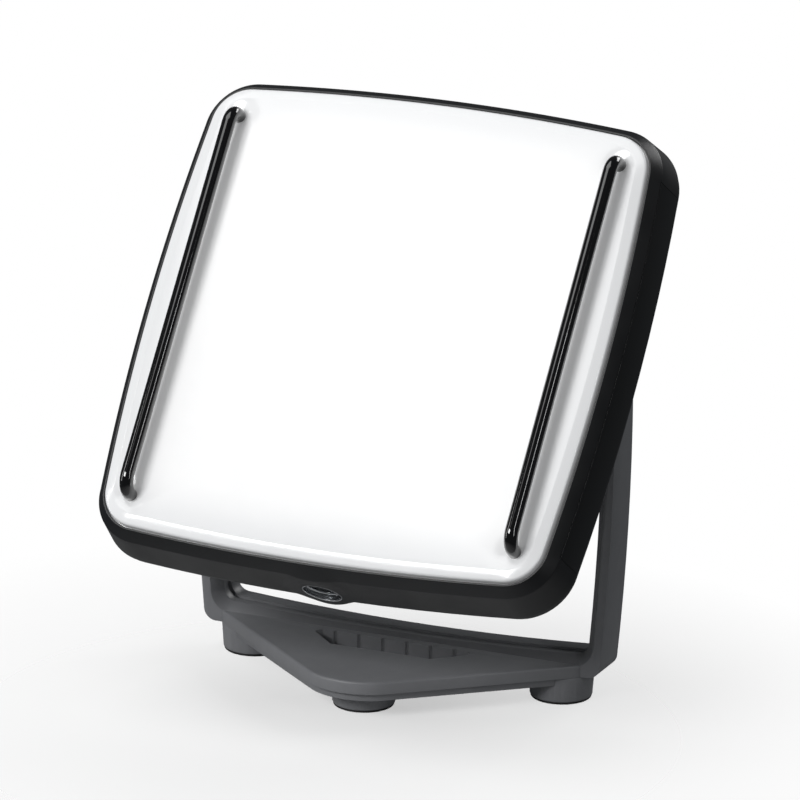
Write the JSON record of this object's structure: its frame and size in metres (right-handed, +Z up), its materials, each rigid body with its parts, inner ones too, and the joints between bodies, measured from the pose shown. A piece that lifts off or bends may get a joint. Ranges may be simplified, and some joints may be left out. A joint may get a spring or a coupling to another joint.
{
  "type": "work light",
  "caption": "Square rechargeable work light: opal lens with side guard bars, black tilting head, grey U-frame stand on round magnetic feet, tripod socket below the head.",
  "frame": {"origin": "centre of the overall box at rest, on the floor under the feet", "axes": "+X across the light along the tilt axis, -Y to the front where the light shines, +Z up"},
  "size_m": [0.199, 0.1459, 0.2208],
  "materials": {
    "housing_black": "fine-textured black ABS",
    "stand_grey": "fine-textured dark grey glass-filled nylon",
    "lens_opal": "opal white polycarbonate, glossy",
    "seal_rubber": "black rubber",
    "bar_black": "gloss black powder-coated steel rod",
    "bright_steel": "zinc and nickel plated steel",
    "insert_brass": "machined brass",
    "bush_white": "natural acetal",
    "reflector_white": "matt white",
    "spreader_aluminium": "rolled aluminium sheet",
    "led_yellow": "phosphor-filled silicone",
    "cell_sleeve": null,
    "holder_black": "black moulded plastic",
    "board_green": "green solder mask on glass epoxy",
    "panel_black": "satin black ABS",
    "button_grey": "soft dark grey silicone over a hard core",
    "indicator_clear": "clear acrylic light pipe"
  },
  "bodies": {
    "stand": {"stand_frame": "stand_grey", "base_plate": "stand_grey", "base_screws": "bright_steel", "foot_screws": "bright_steel", "foot_cup_rear_left": "stand_grey", "foot_cup_rear_right": "stand_grey", "foot_cup_front": "stand_grey", "foot_magnet_rear_left": "bright_steel", "foot_magnet_rear_right": "bright_steel", "foot_magnet_front": "bright_steel", "foot_pad_rear_left": "seal_rubber", "foot_pad_rear_right": "seal_rubber", "foot_pad_front": "seal_rubber", "pivot_bush_left": "bush_white", "pivot_bush_right": "bush_white", "pivot_cap_left": "stand_grey", "pivot_cap_right": "stand_grey"},
    "head": {"front_bezel": "housing_black", "mid_frame": "housing_black", "rear_housing": "housing_black", "side_strip_left": "housing_black", "side_strip_right": "housing_black", "diffuser_lens": "lens_opal", "lens_gasket": "seal_rubber", "guard_bar_seals": "seal_rubber", "guard_bar_left": "bar_black", "guard_bar_right": "bar_black", "tripod_insert": "bright_steel", "guard_bar_screws": "bright_steel", "case_screws": "bright_steel", "board_screws": "bright_steel", "driver_screws": "bright_steel", "switch_board_screws": "bright_steel", "pivot_bolt_left": "bright_steel", "pivot_bolt_right": "bright_steel", "port_hinge_pin": "bright_steel", "cell_links": "bright_steel", "usb_socket": "bright_steel", "pivot_insert_left": "insert_brass", "pivot_insert_right": "insert_brass", "friction_washer_left": "bush_white", "friction_washer_right": "bush_white", "reflector_frame": "reflector_white", "heat_spreader": "spreader_aluminium", "led_board": "spreader_aluminium", "leds": "led_yellow", "battery_cells": "cell_sleeve", "battery_holder": "holder_black", "driver_components": "holder_black", "power_switch": "holder_black", "mode_switch": "holder_black", "driver_board": "board_green", "switch_board": "board_green", "control_panel": "panel_black", "indicator_lenses": "indicator_clear"},
    "power_button": {"power_button": "button_grey", "power_switch_plunger": "holder_black"},
    "mode_button": {"mode_button": "button_grey", "mode_switch_plunger": "holder_black"},
    "port_cover": {"port_cover": "seal_rubber"}
  },
  "joints": [
    {"name": "head_tilt", "type": "hinge", "parent": "stand", "child": "head", "pos_m": [0, 0.021, 0.128], "axis": [-1, 0, 0], "range_deg": [-34, 116]},
    {"name": "power_button_press", "type": "slide", "parent": "head", "child": "power_button", "axis": [0, -0.7891, 0.6143], "range_m": [0, 0.0008], "stiffness_N_per_m": 900},
    {"name": "mode_button_press", "type": "slide", "parent": "head", "child": "mode_button", "axis": [0, -0.7891, 0.6143], "range_m": [0, 0.0008], "stiffness_N_per_m": 900},
    {"name": "port_cover_hinge", "type": "hinge", "parent": "head", "child": "port_cover", "pos_m": [0, 0.03891, 0.12724], "axis": [1, 0, 0], "range_deg": [0, 100]}
  ]
}
